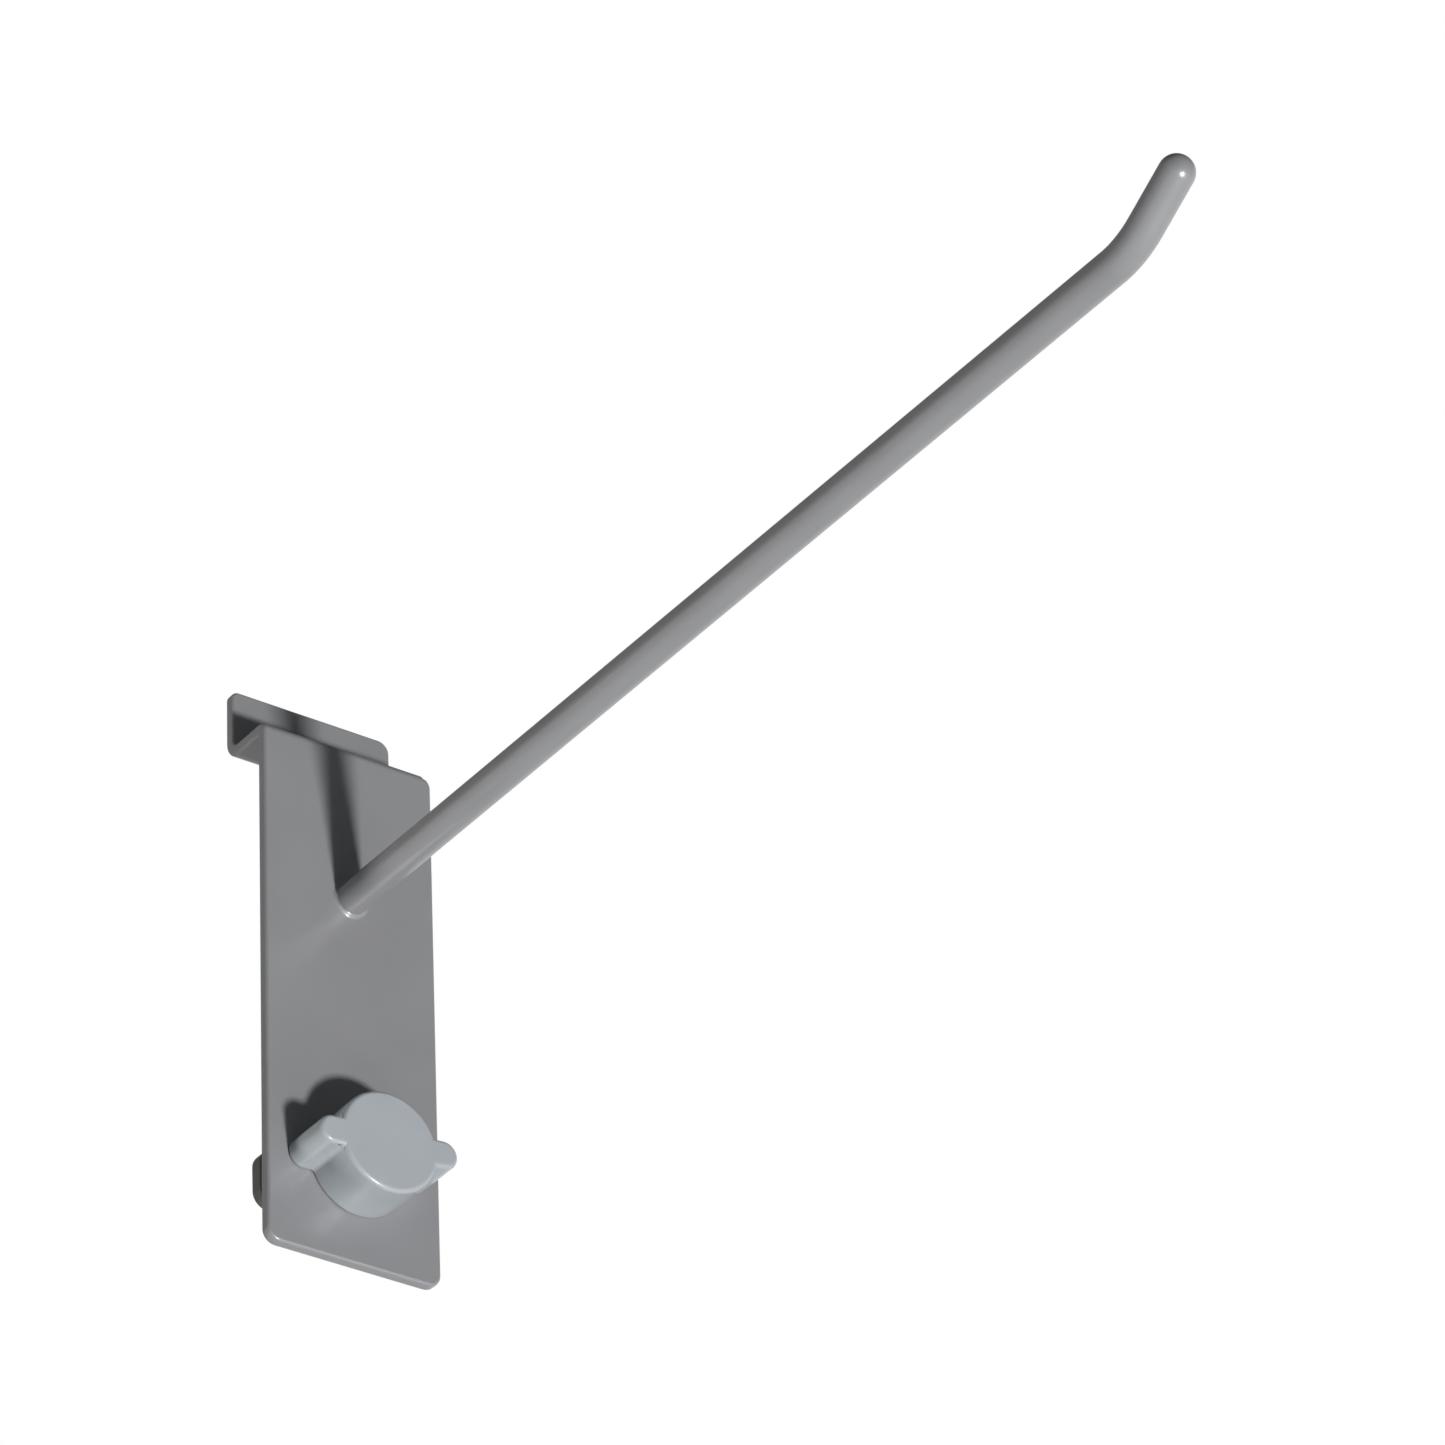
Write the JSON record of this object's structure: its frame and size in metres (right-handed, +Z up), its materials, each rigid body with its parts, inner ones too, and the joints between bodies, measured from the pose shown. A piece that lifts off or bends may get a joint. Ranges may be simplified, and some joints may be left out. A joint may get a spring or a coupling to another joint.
{
  "type": "slatwall hook with twist lock",
  "caption": "Slatwall display hook: a folded steel plate with a hanging lip, an upturned wire prong, and a plastic knob that turns a T-bar lock behind the groove below.",
  "frame": {"origin": "centre of the plate's width, where the shelf's underside sits on the groove's lower edge in the plane of the wall's face", "axes": "+X across the plate to the viewer's right, +Y into the wall, +Z up; the prong runs out along -Y"},
  "size_m": [0.03, 0.2157, 0.0997],
  "materials": {
    "grey_coat": "semi-gloss grey powder coat on steel",
    "lock_plastic": "satin light grey moulded plastic",
    "zinc": "bright zinc plating",
    "dark_plastic": "satin dark grey moulded plastic"
  },
  "bodies": {
    "bracket": {"back_plate": "grey_coat", "prong": "grey_coat", "weld_fillet": "grey_coat"},
    "lock": {"lock_knob": "lock_plastic", "lock_cam": "dark_plastic", "cam_screw": "zinc"}
  },
  "joints": [
    {"name": "lock_turn", "type": "hinge", "parent": "bracket", "child": "lock", "pos_m": [0.0004, 0, -0.07145], "axis": [0, 1, 0], "range_deg": [-89.5, 0.5]}
  ]
}
